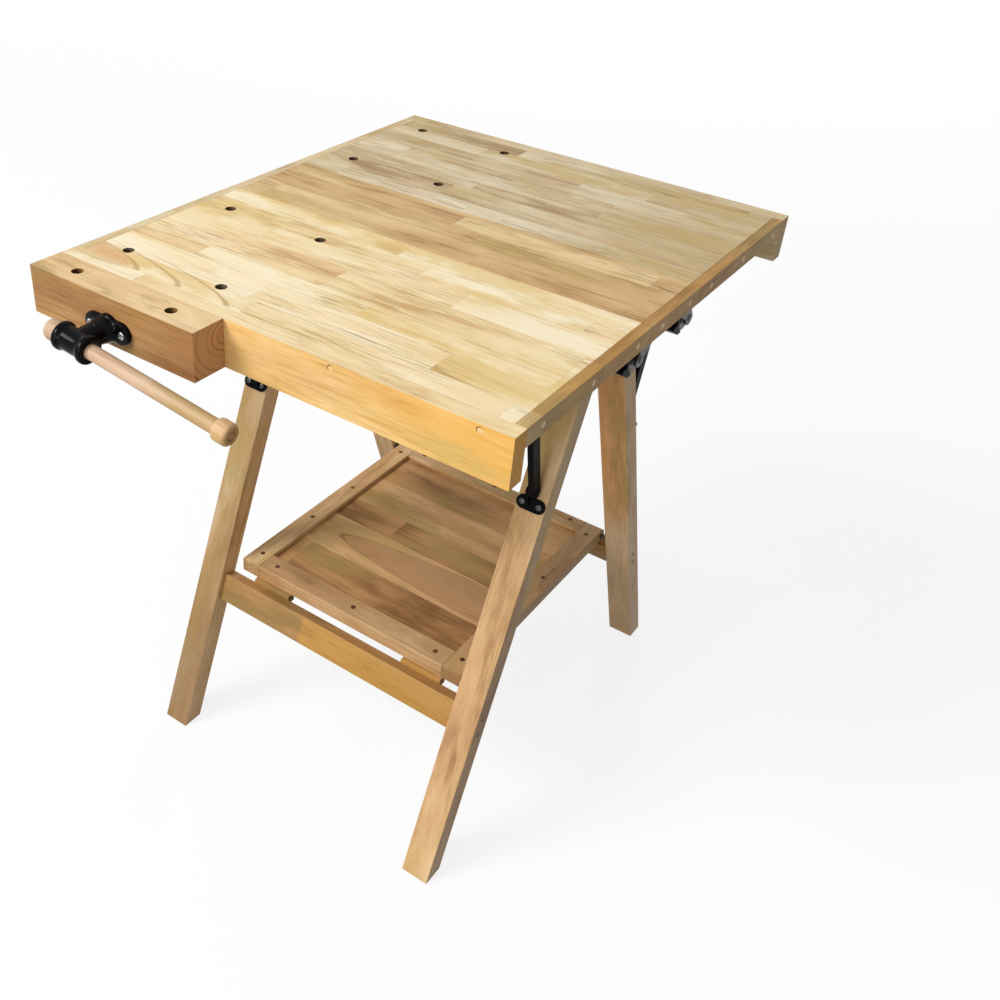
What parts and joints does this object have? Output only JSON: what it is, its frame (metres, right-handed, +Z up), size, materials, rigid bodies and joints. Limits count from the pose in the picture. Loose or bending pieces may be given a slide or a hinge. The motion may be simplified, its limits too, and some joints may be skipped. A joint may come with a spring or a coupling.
{
  "type": "folding workbench",
  "caption": "Folding wooden workbench with a hinged three-section top, splayed leg frames, folding stays, a tilting shelf and a front screw vise.",
  "frame": {"origin": "on the floor under the middle of the bounding box", "axes": "+Z up, -Y towards the vise at the front, +X along the width towards the end without the vise"},
  "size_m": [0.695, 0.931, 0.85],
  "materials": {
    "top_wood": "clear satin lacquer on edge-glued staves",
    "batten_wood": "clear satin lacquer",
    "apron_wood": "clear satin lacquer",
    "jaw_wood": "clear satin lacquer on laminated boards",
    "frame_wood": "clear satin lacquer",
    "shelf_wood": "clear satin lacquer",
    "handle_beech": "turned and oiled",
    "vise_black": "gloss black enamel",
    "stay_black": "satin black",
    "hinge_steel": "zinc plated",
    "rod_steel": "bright drawn"
  },
  "bodies": {
    "spine": {"spine_board": "top_wood", "spine_batten_left": "batten_wood", "spine_batten_right": "batten_wood", "pivot_cleat_left": "frame_wood", "pivot_cleat_right": "frame_wood", "hinge_bracket_front_left": "hinge_steel", "hinge_bracket_front_right": "hinge_steel", "hinge_bracket_rear_left": "hinge_steel", "hinge_bracket_rear_right": "hinge_steel"},
    "front_leaf": {"front_leaf_panel": "top_wood", "front_leaf_batten_left": "batten_wood", "front_leaf_batten_right": "batten_wood", "front_apron": "apron_wood", "hinge_wing_front_left": "hinge_steel", "hinge_wing_front_right": "hinge_steel", "stay_leaf_plate_front_left": "stay_black", "stay_leaf_plate_front_right": "stay_black", "vise_nut": "rod_steel"},
    "front_frame": {"leg_front_left": "frame_wood", "leg_front_right": "frame_wood", "stretcher_front": "frame_wood", "leg_pivot_rod_front": "rod_steel", "stay_leg_plate_front_left": "stay_black", "stay_leg_plate_front_right": "stay_black"},
    "rear_leaf": {"rear_leaf_panel": "top_wood", "rear_leaf_batten_left": "batten_wood", "rear_leaf_batten_right": "batten_wood", "rear_apron": "apron_wood", "hinge_wing_rear_left": "hinge_steel", "hinge_wing_rear_right": "hinge_steel", "stay_leaf_plate_rear_left": "stay_black", "stay_leaf_plate_rear_right": "stay_black"},
    "rear_frame": {"leg_rear_left": "frame_wood", "leg_rear_right": "frame_wood", "stretcher_rear": "frame_wood", "leg_pivot_rod_rear": "rod_steel", "stay_leg_plate_rear_left": "stay_black", "stay_leg_plate_rear_right": "stay_black", "shelf_pivot_rod": "rod_steel"},
    "shelf": {"shelf_panel": "shelf_wood", "shelf_rail_front": "shelf_wood", "shelf_rail_rear": "shelf_wood", "shelf_rail_left": "shelf_wood", "shelf_rail_right": "shelf_wood"},
    "leg_link_front_left": {"stay_leg_link_front_left": "stay_black"},
    "leaf_link_front_left": {"stay_leaf_link_front_left": "stay_black"},
    "leg_link_front_right": {"stay_leg_link_front_right": "stay_black"},
    "leaf_link_front_right": {"stay_leaf_link_front_right": "stay_black"},
    "leg_link_rear_left": {"stay_leg_link_rear_left": "stay_black"},
    "leaf_link_rear_left": {"stay_leaf_link_rear_left": "stay_black"},
    "leg_link_rear_right": {"stay_leg_link_rear_right": "stay_black"},
    "leaf_link_rear_right": {"stay_leaf_link_rear_right": "stay_black"},
    "jaw": {"vise_jaw": "jaw_wood", "vise_flange": "vise_black", "vise_guide_rod_left": "rod_steel", "vise_guide_rod_right": "rod_steel"},
    "screw": {"vise_screw": "vise_black"},
    "handle": {"vise_handle_bar": "handle_beech", "vise_handle_cap": "handle_beech"}
  },
  "joints": [
    {"name": "front_leaf_fold", "type": "hinge", "parent": "spine", "child": "front_leaf", "pos_m": [0, -0.013, 0.801], "axis": [1, 0, 0], "range_deg": [0, 90]},
    {"name": "rear_leaf_fold", "type": "hinge", "parent": "spine", "child": "rear_leaf", "pos_m": [0, 0.138, 0.801], "axis": [-1, 0, 0], "range_deg": [0, 90]},
    {"name": "front_frame_fold", "type": "hinge", "parent": "spine", "child": "front_frame", "pos_m": [0, 0.0333, 0.807], "axis": [1, 0, 0], "range_deg": [0, 21.3]},
    {"name": "rear_frame_fold", "type": "hinge", "parent": "spine", "child": "rear_frame", "pos_m": [0, 0.0917, 0.807], "axis": [-1, 0, 0], "range_deg": [0, 21.3]},
    {"name": "shelf_fold", "type": "hinge", "parent": "rear_frame", "child": "shelf", "pos_m": [0, 0.29092, 0.274], "axis": [-1, 0, 0], "range_deg": [0, 68.7]},
    {"name": "leg_link_front_left_turn", "type": "hinge", "parent": "front_frame", "child": "leg_link_front_left", "pos_m": [-0.2495, -0.07843, 0.592], "axis": [-1, 0, 0], "range_deg": [0, 23.78]},
    {"name": "leaf_link_front_left_turn", "type": "hinge", "parent": "front_leaf", "child": "leaf_link_front_left", "pos_m": [-0.2495, -0.1935, 0.8155], "axis": [1, 0, 0], "range_deg": [0, 40.2]},
    {"name": "leg_link_front_right_turn", "type": "hinge", "parent": "front_frame", "child": "leg_link_front_right", "pos_m": [0.2495, -0.07843, 0.592], "axis": [-1, 0, 0], "range_deg": [0, 23.78]},
    {"name": "leaf_link_front_right_turn", "type": "hinge", "parent": "front_leaf", "child": "leaf_link_front_right", "pos_m": [0.2495, -0.1935, 0.8155], "axis": [1, 0, 0], "range_deg": [0, 40.2]},
    {"name": "leg_link_rear_left_turn", "type": "hinge", "parent": "rear_frame", "child": "leg_link_rear_left", "pos_m": [-0.2495, 0.20343, 0.592], "axis": [1, 0, 0], "range_deg": [0, 23.78]},
    {"name": "leaf_link_rear_left_turn", "type": "hinge", "parent": "rear_leaf", "child": "leaf_link_rear_left", "pos_m": [-0.2495, 0.3185, 0.8155], "axis": [-1, 0, 0], "range_deg": [0, 40.2]},
    {"name": "leg_link_rear_right_turn", "type": "hinge", "parent": "rear_frame", "child": "leg_link_rear_right", "pos_m": [0.2495, 0.20343, 0.592], "axis": [1, 0, 0], "range_deg": [0, 23.78]},
    {"name": "leaf_link_rear_right_turn", "type": "hinge", "parent": "rear_leaf", "child": "leaf_link_rear_right", "pos_m": [0.2495, 0.3185, 0.8155], "axis": [-1, 0, 0], "range_deg": [0, 40.2]},
    {"name": "vise_screw_spin", "type": "hinge", "parent": "jaw", "child": "screw", "pos_m": [-0.2035, -0.4465, 0.809], "axis": [0, -1, 0], "range_deg": [0, 3240]},
    {"name": "jaw_slide", "type": "slide", "parent": "front_leaf", "child": "jaw", "axis": [0, -1, 0], "range_m": [0, 0.072]},
    {"name": "handle_slide", "type": "slide", "parent": "screw", "child": "handle", "axis": [-0.9936, 0, 0.1132], "range_m": [0, 0.207]}
  ],
  "couplings": [
    {"joint": "rear_leaf_fold", "follows": "front_leaf_fold", "ratio": 1},
    {"joint": "front_frame_fold", "follows": "front_leaf_fold", "ratio": 0.23666},
    {"joint": "rear_frame_fold", "follows": "front_leaf_fold", "ratio": 0.23666},
    {"joint": "shelf_fold", "follows": "front_leaf_fold", "ratio": 0.76333},
    {"joint": "leg_link_front_left_turn", "follows": "front_leaf_fold", "ratio": 0.26425},
    {"joint": "leaf_link_front_left_turn", "follows": "front_leaf_fold", "ratio": 0.44659},
    {"joint": "leg_link_front_right_turn", "follows": "front_leaf_fold", "ratio": 0.26425},
    {"joint": "leaf_link_front_right_turn", "follows": "front_leaf_fold", "ratio": 0.44659},
    {"joint": "leg_link_rear_left_turn", "follows": "front_leaf_fold", "ratio": 0.26425},
    {"joint": "leaf_link_rear_left_turn", "follows": "front_leaf_fold", "ratio": 0.44659},
    {"joint": "leg_link_rear_right_turn", "follows": "front_leaf_fold", "ratio": 0.26425},
    {"joint": "leaf_link_rear_right_turn", "follows": "front_leaf_fold", "ratio": 0.44659},
    {"joint": "jaw_slide", "follows": "vise_screw_spin", "m_per_rad": 0.0012732}
  ]
}
